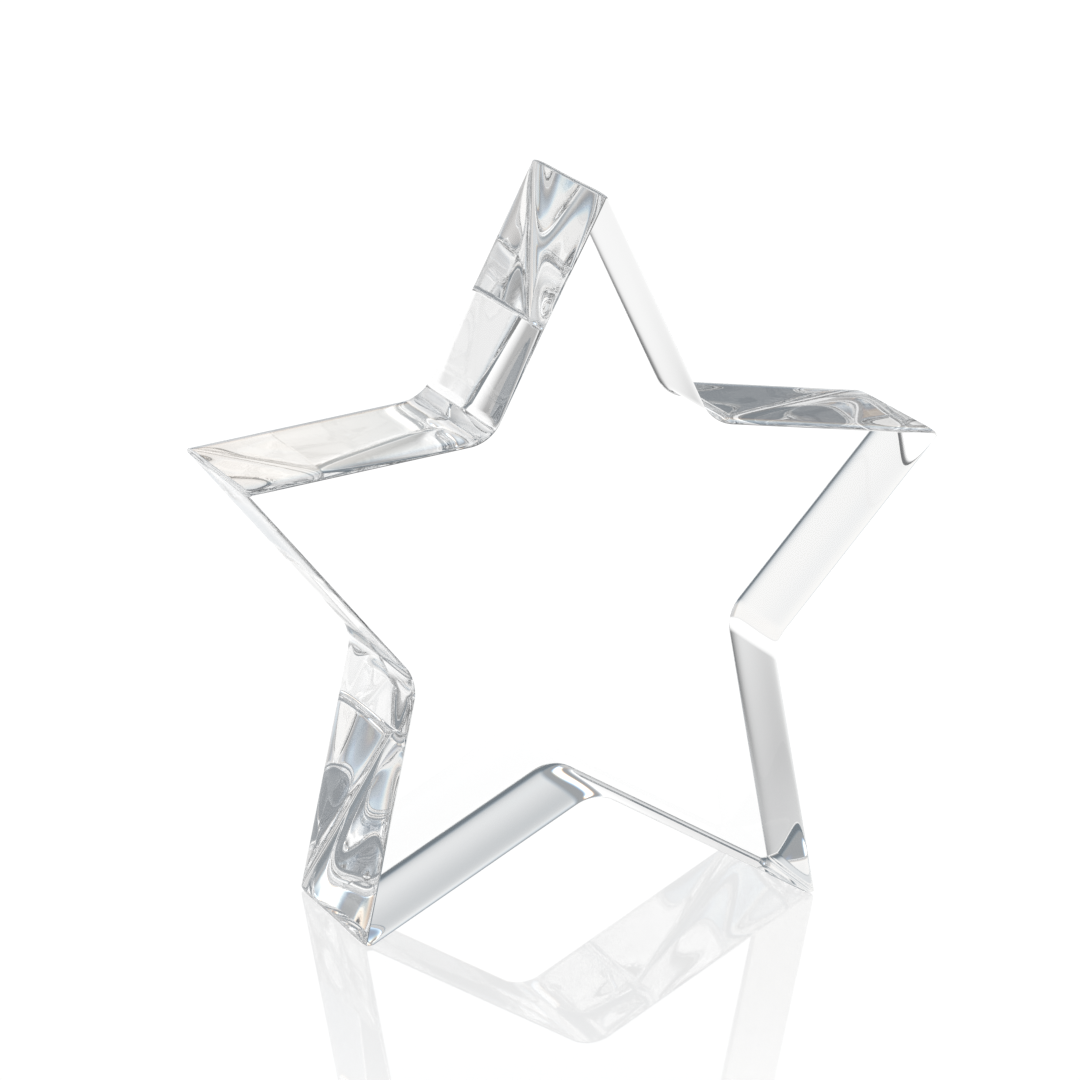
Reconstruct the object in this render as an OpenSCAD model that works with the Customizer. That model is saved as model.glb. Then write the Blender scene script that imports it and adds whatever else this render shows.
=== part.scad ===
// Clear five-pointed star trophy: one thick, free-standing, polished block.
// Millimetres, +Z up. The front face looks along -Y.
// Origin: on the floor, midway between the two feet and midway through the thickness.
// The outline is mirror-symmetric about X = 0.

/* [Block] */
// Height from the floor to where the two straight sides of the top point would meet
star_h = 151; // [140:0.5:165]
// Thickness of the block, front face to back face
block_t = 38; // [20:0.5:60]

/* [Outline] */
// Half width between the two side points, measured at their sharp corners
side_tip_x = 75; // [68:0.5:82]
// Height of the side points above the floor
side_tip_z = 96; // [88:0.5:104]
// Half width between the two upper notches
upper_notch_x = 24; // [18:0.5:30]
// Height of the two upper notches above the floor
upper_notch_z = 102.5; // [96:0.5:108]
// Half width between the two side notches
side_notch_x = 39; // [32:0.5:44]
// Height of the two side notches above the floor
side_notch_z = 54.5; // [48:0.5:62]
// Half width between the sharp corners of the two feet
foot_tip_x = 50; // [44:0.5:56]
// Height of the crotch between the two legs above the floor
crotch_z = 27; // [20:0.5:34]

/* [Finish] */
// Radius of the polished curve inside each of the five notches
notch_r = 8; // [3:0.5:12]
// Radius at the end of each upper point
tip_r = 0.8; // [0.4:0.1:1.5]
// Height ground off the sharp end of each foot so that it stands flat
foot_flat_h = 1.4; // [0.6:0.1:3]

/* [Hidden] */
$fn = 96;
// Angle in degrees at which every rounding arc meets the flat sides beside it
arc_entry = 4;

// Sharp corners of the outline, counter-clockwise from the top point
top_tip = [0, star_h];
upper_notch_l = [-upper_notch_x, upper_notch_z];
side_tip_l = [-side_tip_x, side_tip_z];
side_notch_l = [-side_notch_x, side_notch_z];
foot_tip_l = [-foot_tip_x, -foot_flat_h];
crotch = [0, crotch_z];
foot_tip_r = [foot_tip_x, -foot_flat_h];
side_notch_r = [side_notch_x, side_notch_z];
side_tip_r = [side_tip_x, side_tip_z];
upper_notch_r = [upper_notch_x, upper_notch_z];

// Unit vector from p towards q
function toward(p, q) = (q - p) / norm(q - p);

// Half of the angle between the sides that run from v to a and from v to b
function half_angle(v, a, b) = acos(toward(v, a) * toward(v, b)) / 2;

// Foot of the perpendicular on the side from v to a, dropped from a point d away from both sides
function side_point(v, a, b, d) = v + toward(v, a) * d / tan(half_angle(v, a, b));

// Point inside the corner at v that is d away from both of its sides
function arc_centre(v, a, b, d) =
    v + (toward(v, a) + toward(v, b)) / norm(toward(v, a) + toward(v, b))
    * d / sin(half_angle(v, a, b));

// Region between the corner at v and the rounding arc of radius r: what fills a notch, or what a
// rounded tip loses. It runs on past both sides of the corner, so it meets them squarely.
module corner_piece(v, a, b, r) {
    d = r * cos(arc_entry);
    c = arc_centre(v, a, b, d);
    difference() {
        polygon([c, 2 * side_point(v, a, b, d) - c, 2 * v - c, 2 * side_point(v, b, a, d) - c]);
        translate(c)
            circle(r = r);
    }
}

// Stand a front-view outline up and give it the thickness of the block
module slab() {
    rotate([90, 0, 0])
        translate([0, 0, -block_t / 2])
            linear_extrude(height = block_t)
                children();
}

// The star with its five rounded notches
module notched_star() {
    slab()
        polygon([top_tip, upper_notch_l, side_tip_l, side_notch_l, foot_tip_l,
                 crotch, foot_tip_r, side_notch_r, side_tip_r, upper_notch_r]);
    slab() corner_piece(upper_notch_l, top_tip, side_tip_l, notch_r);
    slab() corner_piece(side_notch_l, side_tip_l, foot_tip_l, notch_r);
    slab() corner_piece(crotch, foot_tip_l, foot_tip_r, notch_r);
    slab() corner_piece(side_notch_r, foot_tip_r, side_tip_r, notch_r);
    slab() corner_piece(upper_notch_r, side_tip_r, top_tip, notch_r);
}

module star_block() {
    color([0.93, 0.96, 0.98, 0.35])
        difference() {
            notched_star();
            slab() corner_piece(top_tip, upper_notch_r, upper_notch_l, tip_r);
            slab() corner_piece(side_tip_l, upper_notch_l, side_notch_l, tip_r);
            slab() corner_piece(side_tip_r, side_notch_r, upper_notch_r, tip_r);
            // flat ground on the underside of both feet
            translate([-2 * foot_tip_x, -block_t, -2 * foot_flat_h])
                cube([4 * foot_tip_x, 2 * block_t, 2 * foot_flat_h]);
        }
}

// Which sub-part to draw; "all" draws the whole object

star_block();
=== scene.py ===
"""A clear star trophy on a glossy white floor. Metres, +Z up, front face along -Y, as in the CAD frame."""
import math

import bpy
from mathutils import Matrix, Vector


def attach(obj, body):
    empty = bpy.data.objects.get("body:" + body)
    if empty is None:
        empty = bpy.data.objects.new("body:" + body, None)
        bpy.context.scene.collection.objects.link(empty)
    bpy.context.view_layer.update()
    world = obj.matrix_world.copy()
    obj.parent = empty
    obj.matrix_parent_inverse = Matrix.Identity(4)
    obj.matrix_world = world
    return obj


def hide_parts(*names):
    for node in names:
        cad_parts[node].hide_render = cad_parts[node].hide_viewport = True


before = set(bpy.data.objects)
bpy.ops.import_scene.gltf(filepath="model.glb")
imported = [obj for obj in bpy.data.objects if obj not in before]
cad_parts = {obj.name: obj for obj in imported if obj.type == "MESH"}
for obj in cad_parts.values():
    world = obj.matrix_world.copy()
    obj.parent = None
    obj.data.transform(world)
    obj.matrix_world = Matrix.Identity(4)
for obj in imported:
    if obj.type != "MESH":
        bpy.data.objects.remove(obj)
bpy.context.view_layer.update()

# ---------------------------------------------------------------- sizes of the star, as in the CAD part
# Corners are (x, z) of the right half, before they are rounded.
STAR_H = 0.151           # to the top corner, before it is rounded
BLOCK_T = 0.038
SIDE_TIP = (0.075, 0.096)
UPPER_NOTCH = (0.024, 0.1025)
SIDE_NOTCH = (0.039, 0.0545)
FOOT_TIP_X = 0.050
CROTCH_Z = 0.027
FOOT_FLAT_H = 0.0014     # height ground off the tips of the feet, to stand on
NOTCH_R = 0.008
TIP_R = 0.0008
FOOT_R = 0.0008          # rounding where the ground flat of a foot meets its sides

# ---------------------------------------------------------------- what polishing did to the flat CAD faces
ARRIS_R = 0.0002         # rounding along the front and back edges
EDGE_DROP = 0.0004       # how far the side faces fall away at those edges
EDGE_POWER = 9           # how late that fall begins: higher is nearer the edge
DISH_DEEP = 0.00024      # hollow of a side face, half way between its edges
DISH_MILD = 0.00015
DISH_FLAT = 0.00003
# Hollow of the side face that starts at each corner, in the order of star_corners().
SIDE_DISHES = (
    DISH_FLAT, DISH_FLAT, DISH_DEEP, DISH_DEEP, DISH_FLAT, DISH_DEEP,
    DISH_MILD, DISH_FLAT, DISH_MILD, DISH_MILD, DISH_FLAT, DISH_MILD,
)

# ---------------------------------------------------------------- fineness of the mesh
ARC_STEP = math.radians(2.0)
ARRIS_STEPS = 4
SIDE_RINGS = 36
SIDE_HALF = BLOCK_T / 2 - ARRIS_R


def on_floor(above, below):
    """Where the line from above to below crosses the floor, as (x, 0)."""
    share = above[1] / (above[1] - below[1])
    return (above[0] + (below[0] - above[0]) * share, 0.0)


def star_corners():
    """Corners (x, z, rounding radius), counter-clockwise seen from the front, from the top point."""
    foot = (-FOOT_TIP_X, -FOOT_FLAT_H)
    left = [
        (-UPPER_NOTCH[0], UPPER_NOTCH[1], NOTCH_R),
        (-SIDE_TIP[0], SIDE_TIP[1], TIP_R),
        (-SIDE_NOTCH[0], SIDE_NOTCH[1], NOTCH_R),
        (*on_floor((-SIDE_NOTCH[0], SIDE_NOTCH[1]), foot), FOOT_R),
        (*on_floor((0.0, CROTCH_Z), foot), FOOT_R),
    ]
    right = [(-x, z, r) for x, z, r in reversed(left)]
    return [(0.0, STAR_H, TIP_R), *left, (0.0, CROTCH_Z, NOTCH_R), *right]


def rounded_outline(corners):
    """Every corner as an arc: a list of (centre, signed radius, outward normal, dish), all in the XZ plane.
    A point of the outline is centre + radius * normal, so an inset only changes the radius."""
    points = []
    for i, (x, z, r) in enumerate(corners):
        v = Vector((x, z))
        before = (v - Vector(corners[i - 1][:2])).normalized()
        after = (Vector(corners[(i + 1) % len(corners)][:2]) - v).normalized()
        turn = math.atan2(before.x * after.y - before.y * after.x, before.dot(after))
        inward = (after - before).normalized()
        centre = v + inward * r / math.cos(turn / 2)
        radius = math.copysign(r, turn)
        start = math.atan2(-before.x, before.y)
        steps = max(2, math.ceil(abs(turn) / ARC_STEP))
        for k in range(steps + 1):
            a = start + turn * k / steps
            dish = SIDE_DISHES[i - 1] + (SIDE_DISHES[i] - SIDE_DISHES[i - 1]) * k / steps
            points.append((centre, radius, Vector((math.cos(a), math.sin(a))), dish))
    return points


def across(s, dish):
    """Inset of a side face and its lean at s = -1 (front edge) to 1 (back edge)."""
    inset = EDGE_DROP * abs(s) ** EDGE_POWER + dish * (1 - s * s) ** 2
    fall = EDGE_DROP * EDGE_POWER * abs(s) ** (EDGE_POWER - 1) * math.copysign(1, s)
    hollow = dish * 4 * s * (1 - s * s)
    return inset, math.atan((fall - hollow) / SIDE_HALF)


def block_profile(dish):
    """(inset, y, share of the side normal, y of the normal) from the front face to the back face."""
    profile = []
    for k in range(SIDE_RINGS + 1):
        s = math.sin(math.pi / 2 * (2 * k / SIDE_RINGS - 1))
        inset, lean = across(s, dish)
        profile.append((inset, s * SIDE_HALF, math.cos(lean), math.sin(lean)))
    edge_inset, edge_lean = across(1, dish)
    arris = []
    for k in range(1, ARRIS_STEPS + 1):
        a = edge_lean + (math.pi / 2 - edge_lean) * k / ARRIS_STEPS
        inset = edge_inset + ARRIS_R * (math.cos(edge_lean) - math.cos(a))
        y = SIDE_HALF + ARRIS_R * (math.sin(a) - math.sin(edge_lean)) / (1 - math.sin(edge_lean))
        arris.append((inset, y, math.cos(a), math.sin(a)))
    front = [(inset, -y, side, -face) for inset, y, side, face in reversed(arris)]
    return front + profile + arris


def star_mesh():
    """The block as rings of the outline from the front face to the back face, with exact smooth normals."""
    outline = rounded_outline(star_corners())
    profiles = {dish: block_profile(dish) for dish in {point[3] for point in outline}}
    n = len(outline)
    rings = len(block_profile(DISH_FLAT))
    verts, normals = [], []
    for ring in range(rings):
        for centre, radius, normal, dish in outline:
            inset, y, side, face = profiles[dish][ring]
            p = centre + normal * (radius - inset)
            verts.append((p.x, y, p.y))
            normals.append((normal.x * side, face, normal.y * side))
    faces = [tuple(range(n))]
    for ring in range(rings - 1):
        a, b = ring * n, (ring + 1) * n
        faces += [(a + (i + 1) % n, a + i, b + i, b + (i + 1) % n) for i in range(n)]
    faces.append(tuple(reversed(range((rings - 1) * n, rings * n))))
    mesh = bpy.data.meshes.new("star_block_clear")
    mesh.from_pydata(verts, [], faces)
    mesh.shade_smooth()
    mesh.normals_split_custom_set_from_vertices(normals)
    mesh.validate()
    return mesh


# ---------------------------------------------------------------- shader nodes
def add(tree, kind, *values, **settings):
    """A new node with these settings, its open inputs fed in order from outputs or plain values.
    Gives its first open output."""
    node = tree.nodes.new("ShaderNode" + kind)
    for name, value in settings.items():
        setattr(node, name, value)
    open_inputs = [slot for slot in node.inputs if slot.enabled]
    for slot, value in zip(open_inputs, values):
        if isinstance(value, bpy.types.NodeSocket):
            tree.links.new(value, slot)
        else:
            slot.default_value = value
    return next(out for out in node.outputs if out.enabled)


def ramp(tree, value, start, end, low, high):
    """Smooth step of a value from low at start to high at end."""
    return add(tree, "MapRange", value, start, end, low, high, interpolation_type="SMOOTHSTEP")


def product(tree, a, b):
    """The product of two values."""
    return add(tree, "Math", a, b, operation="MULTIPLY")


def source(tree, kind, name):
    """The named output of a new node that has no inputs to feed."""
    return tree.nodes.new("ShaderNode" + kind).outputs[name]


# ---------------------------------------------------------------- the clear material
ACRYLIC_IOR = 1.49
WAVE_SCALE = 60.0             # waves about 15 mm long
WAVE_DETAIL = 1.0
WAVE_HEIGHT = 0.00002
WAVE_FACING = (0.3, 0.9)      # the waves fade out as a normal turns this far to the front or back
SMEAR_SCALE = 45.0
SMEAR_DETAIL = 4.0
SMEAR_RANGE = (0.45, 0.75)    # noise, from clear to fully smeared
SMEAR_ROUGHNESS = 0.008


def noise(tree, place, scale, detail):
    """Noise of this scale and detail."""
    node = tree.nodes.new("ShaderNodeTexNoise")
    node.inputs["Scale"].default_value = scale
    node.inputs["Detail"].default_value = detail
    tree.links.new(place, node.inputs["Vector"])
    return node.outputs["Fac"]


def clear_acrylic():
    """Polished cast acrylic: clear, with faint long waves on its sides and smears of hand buffing."""
    mat = bpy.data.materials.new("clear_acrylic")
    mat.use_nodes = True
    tree = mat.node_tree
    bsdf = tree.nodes["Principled BSDF"]
    bsdf.inputs["Base Color"].default_value = (1.0, 1.0, 1.0, 1.0)
    bsdf.inputs["IOR"].default_value = ACRYLIC_IOR
    bsdf.inputs["Transmission Weight"].default_value = 1.0
    place = tree.nodes.new("ShaderNodeTexCoord").outputs

    normal_axes = add(tree, "SeparateXYZ", place["Normal"]).node.outputs
    facing_front = add(tree, "Math", normal_axes["Y"], operation="ABSOLUTE")
    on_sides = ramp(tree, facing_front, *WAVE_FACING, 1.0, 0.0)
    waves = noise(tree, place["Object"], WAVE_SCALE, WAVE_DETAIL)
    bump = tree.nodes.new("ShaderNodeBump")
    bump.inputs["Distance"].default_value = WAVE_HEIGHT
    tree.links.new(product(tree, waves, on_sides), bump.inputs["Height"])
    tree.links.new(bump.outputs["Normal"], bsdf.inputs["Normal"])

    smears = noise(tree, place["Object"], SMEAR_SCALE, SMEAR_DETAIL)
    tree.links.new(ramp(tree, smears, *SMEAR_RANGE, 0.0, SMEAR_ROUGHNESS), bsdf.inputs["Roughness"])
    return mat


# ---------------------------------------------------------------- the floor's material
# The floor is no lamp, yet it glows: its light and shade are painted into that glow.
# The camera's own rays see the first group alone. Rays that have passed through the star or glanced off it
# see the second group as well: a floor with painted shade near the star, towards the dim room in front,
# and far away.
# Radii are in metres from the middle of the star's foot line.
FLOOR_GLOW = 0.93              # brightness of the floor seen steeply
FLOOR_GLOW_NEAR = 0.755        # the same close to the star, in its soft shade
SHADE_RADII = (0.13, 0.27)     # from the shade to the open floor
FLOOR_SHEEN_GLOW = 1.08        # brightness seen at a low angle, where the backdrop shines on it
SHEEN_FACING = (0.57, 0.65)    # Layer Weight facing, from steep to low
GLOSS_GLOW = 0.975             # brightness at a low angle close to the star, where the floor is glossy
GLOSS_SHARE = 0.22             # how much of the floor is mirror there
GLOSS_RADII = (0.05, 0.22)     # from glossy to matt
GLOSS_ROUGHNESS = 0.01

UNDER_GLOW = 0.80              # brightness right under the star, where light comes down through it
UNDER_RADII = (0.03, 0.07)     # from under the star outwards
CONTACT_SHADE = 0.20           # share of the light left near the star, seen steeply
CONTACT_FACING = (0.49, 0.61)  # Layer Weight facing, from steep to low
CONTACT_RADII = (0.12, 0.22)   # from near the star to the open floor
STEEP_SHADE = 0.30             # share of the light left on the open floor, seen steeply
STEEP_FACING = (0.20, 0.58)    # Layer Weight facing, from steep to low
FRONT_SHADE = 0.45             # share of the light left towards the room in front
FRONT_Y = (-1.0, -0.25)        # from that room to the star
FAR_SHADE = 0.80               # share of the light left on the far floor
FAR_RADII = (0.85, 1.15)       # from the near floor to the far floor


def floor_light(tree, place, radius):
    """The floor's painted light and shade: how bright it looks, to the camera and to the rays from the
    star.
    """
    facing = source(tree, "LayerWeight", "Facing")
    near_shade = ramp(tree, radius, *SHADE_RADII, FLOOR_GLOW_NEAR, FLOOR_GLOW)
    low_glow = ramp(tree, radius, *GLOSS_RADII, GLOSS_GLOW, FLOOR_SHEEN_GLOW)
    sheen = ramp(tree, facing, *SHEEN_FACING, 0.0, 1.0)
    plain = add(tree, "Mix", sheen, near_shade, low_glow)

    open_shade = ramp(tree, facing, *STEEP_FACING, STEEP_SHADE, 1.0)
    contact_shade = ramp(tree, facing, *CONTACT_FACING, CONTACT_SHADE, 1.0)
    steep = add(tree, "Mix", ramp(tree, radius, *CONTACT_RADII, 1.0, 0.0), open_shade, contact_shade)
    shaded = product(tree, near_shade, steep)
    under = add(tree, "Mix", ramp(tree, radius, *UNDER_RADII, 1.0, 0.0), shaded, UNDER_GLOW)
    light = add(tree, "Mix", sheen, under, low_glow)
    depth = add(tree, "SeparateXYZ", place).node.outputs["Y"]
    front = ramp(tree, depth, *FRONT_Y, FRONT_SHADE, 1.0)
    far = ramp(tree, radius, *FAR_RADII, 1.0, FAR_SHADE)
    lit = product(tree, light, product(tree, front, far))
    return add(tree, "Mix", source(tree, "LightPath", "Is Camera Ray"), lit, plain)


def glossy_floor():
    """A white floor that glows with painted light and shade, and whose gloss shows a faint mirror image
    that fades away from the star.
    """
    mat = bpy.data.materials.new("glossy_floor")
    mat.use_nodes = True
    tree = mat.node_tree
    tree.nodes.clear()
    place = source(tree, "TexCoord", "Object")
    radius = add(tree, "VectorMath", place, operation="LENGTH")
    # the floor's painted light and shade are its own glow, not lamp light
    glow = tree.nodes.new("ShaderNodeEmission")
    tree.links.new(floor_light(tree, place, radius), glow.inputs["Strength"])
    gloss = tree.nodes.new("ShaderNodeBsdfGlossy")
    gloss.inputs["Roughness"].default_value = GLOSS_ROUGHNESS
    share = ramp(tree, radius, *GLOSS_RADII, GLOSS_SHARE, 0.0)
    both = add(tree, "MixShader", share, glow.outputs["Emission"], gloss.outputs["BSDF"])
    tree.links.new(both, tree.nodes.new("ShaderNodeOutputMaterial").inputs["Surface"])
    return mat


# ---------------------------------------------------------------- the piece
star = bpy.data.objects.new("star_block_clear", star_mesh())
bpy.context.scene.collection.objects.link(star)
star.data.materials.append(clear_acrylic())
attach(star, "root")
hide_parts("star_block")

# ---------------------------------------------------------------- stage
FLOOR_HALF = 2.0
FLOOR_CORNERS = [(x * FLOOR_HALF, y * FLOOR_HALF, 0.0) for x, y in ((-1, -1), (1, -1), (1, 1), (-1, 1))]
floor_mesh = bpy.data.meshes.new("floor")
floor_mesh.from_pydata(FLOOR_CORNERS, [], [(0, 1, 2, 3)])
floor = bpy.data.objects.new("floor", floor_mesh)
floor.data.materials.append(glossy_floor())
bpy.context.scene.collection.objects.link(floor)

ROOM = (0.15, 0.18, 0.205)                 # colour and brightness where no panel lies
CAMERA_BACKGROUND = (1.0, 1.0, 1.0, 1.0)   # the plain white that the camera sees instead
FRINGE = 0.5                               # degrees between the edges of one colour and the next
HALF_TURN = (math.pi, math.pi, math.pi)
HALF_TURN_BACK = (-math.pi, -math.pi, -math.pi)

# Panels of light and shade round the star, each laid over the ones before it. In degrees: azimuth (from +Y
# towards +X) and elevation of the middle, half width, half height, and half the width of the soft edge at
# the sides and at the top and bottom. Then colour and brightness.
PANELS = {
    "side_walls": (0, 10, 180, 20, 10, 8, (1.0, 1.0, 1.0), 0.61),
    "overhead": (0, 90, 180, 25, 10, 10, (1.0, 1.0, 1.0), 0.80),
    "left_wall": (-118, 17, 9, 15, 4, 5, (0.97, 0.99, 1.0), 1.10),
    "front_room": (170, 14, 42, 34, 9, 9, (0.80, 0.90, 1.0), 0.24),
    "backdrop_shade": (8, 14, 24, 20, 5, 5, (0.93, 0.97, 1.0), 0.36),
    "backdrop": (-22, 2, 23, 28, 5, 15, (1.0, 0.99, 0.975), 0.96),
    "horizon": (24, -4, 26, 6, 4, 4, (1.0, 0.995, 0.99), 0.85),
    "backdrop_top": (22.5, 18, 8, 5, 2.5, 2.5, (1.0, 1.0, 1.0), 1.50),
    "soft_glow": (-170, 16, 15, 9, 4, 3, (0.86, 0.94, 1.0), 0.55),
    "softbox": (-165, 17, 7, 6.5, 1.5, 1.5, (1.0, 0.995, 0.985), 0.80),
    "window": (-146, 12, 5, 5, 1.5, 1.5, (0.93, 0.97, 1.0), 0.70),
}


def panel_mask(tree, angle, middle, half, soft):
    """1 where the angle lies within half of the middle, falling smoothly to 0 across the soft edge.
    The masks for red, green and blue lie a little apart, like the fringes in a clear solid."""
    middles = [math.radians(middle + shift) for shift in (-FRINGE, 0.0, FRINGE)]
    outer = (math.radians(half + soft),) * 3
    inner = (math.radians(half - soft),) * 3
    offset = add(tree, "VectorMath", angle, middles, operation="SUBTRACT")
    turned = add(tree, "VectorMath", offset, HALF_TURN, HALF_TURN_BACK, operation="WRAP")
    distance = add(tree, "VectorMath", turned, operation="ABSOLUTE")
    settings = {"data_type": "FLOAT_VECTOR", "interpolation_type": "SMOOTHSTEP"}
    return add(tree, "MapRange", distance, outer, inner, **settings)


def studio_world():
    """The studio: the star's rays see its panels by their direction, and the camera sees plain white."""
    world = bpy.data.worlds.new("studio")
    world.use_nodes = True
    tree = world.node_tree
    axes = add(tree, "SeparateXYZ", source(tree, "TexCoord", "Generated")).node.outputs
    azimuth = add(tree, "Math", axes["X"], axes["Y"], operation="ARCTAN2")
    elevation = add(tree, "Math", axes["Z"], operation="ARCSINE")
    light = ROOM
    for name, (az, el, half_w, half_h, soft_w, soft_h, tint, brightness) in PANELS.items():
        across_mask = panel_mask(tree, azimuth, az, half_w, soft_w)
        up_mask = panel_mask(tree, elevation, el, half_h, soft_h)
        mask = add(tree, "VectorMath", across_mask, up_mask, operation="MULTIPLY")
        colour = [c * brightness for c in tint]
        settings = {"label": name, "data_type": "VECTOR", "factor_mode": "NON_UNIFORM"}
        light = add(tree, "Mix", mask, light, colour, **settings)
    is_camera = source(tree, "LightPath", "Is Camera Ray")
    seen = add(tree, "Mix", is_camera, light, CAMERA_BACKGROUND, data_type="RGBA")
    tree.links.new(seen, tree.nodes["Background"].inputs["Color"])
    return world


bpy.context.scene.world = studio_world()

# ---------------------------------------------------------------- camera, at the photograph's viewing angle
CAMERA_AZIMUTH = math.radians(-22.48)
CAMERA_ELEVATION = math.radians(15.68)
CAMERA_ROLL = math.radians(0.91)
CAMERA_DISTANCE = 1.1655
CAMERA_TARGET = Vector((-0.0052, 0.0, 0.0755))
CAMERA_LENS_MM = 192.7
SENSOR_MM = 36.0

forward = -Vector((
    math.sin(CAMERA_AZIMUTH) * math.cos(CAMERA_ELEVATION),
    -math.cos(CAMERA_AZIMUTH) * math.cos(CAMERA_ELEVATION),
    math.sin(CAMERA_ELEVATION),
))
level = forward.cross(Vector((0, 0, 1))).normalized()
up = level.cross(forward)
right = level * math.cos(CAMERA_ROLL) + up * math.sin(CAMERA_ROLL)
rotation = Matrix((right, right.cross(forward), -forward)).transposed().to_4x4()
camera_data = bpy.data.cameras.new("camera")
camera_data.lens = CAMERA_LENS_MM
camera_data.sensor_width = SENSOR_MM
camera = bpy.data.objects.new("camera", camera_data)
camera.matrix_world = Matrix.Translation(CAMERA_TARGET - forward * CAMERA_DISTANCE) @ rotation
bpy.context.scene.collection.objects.link(camera)
bpy.context.scene.camera = camera

# ---------------------------------------------------------------- how far light is followed in the block
BLOCK_BOUNCES = 32
GLOSS_BOUNCES = 24
scene = bpy.context.scene
scene.view_settings.view_transform = "Standard"
scene.cycles.max_bounces = BLOCK_BOUNCES
scene.cycles.transmission_bounces = BLOCK_BOUNCES
scene.cycles.glossy_bounces = GLOSS_BOUNCES
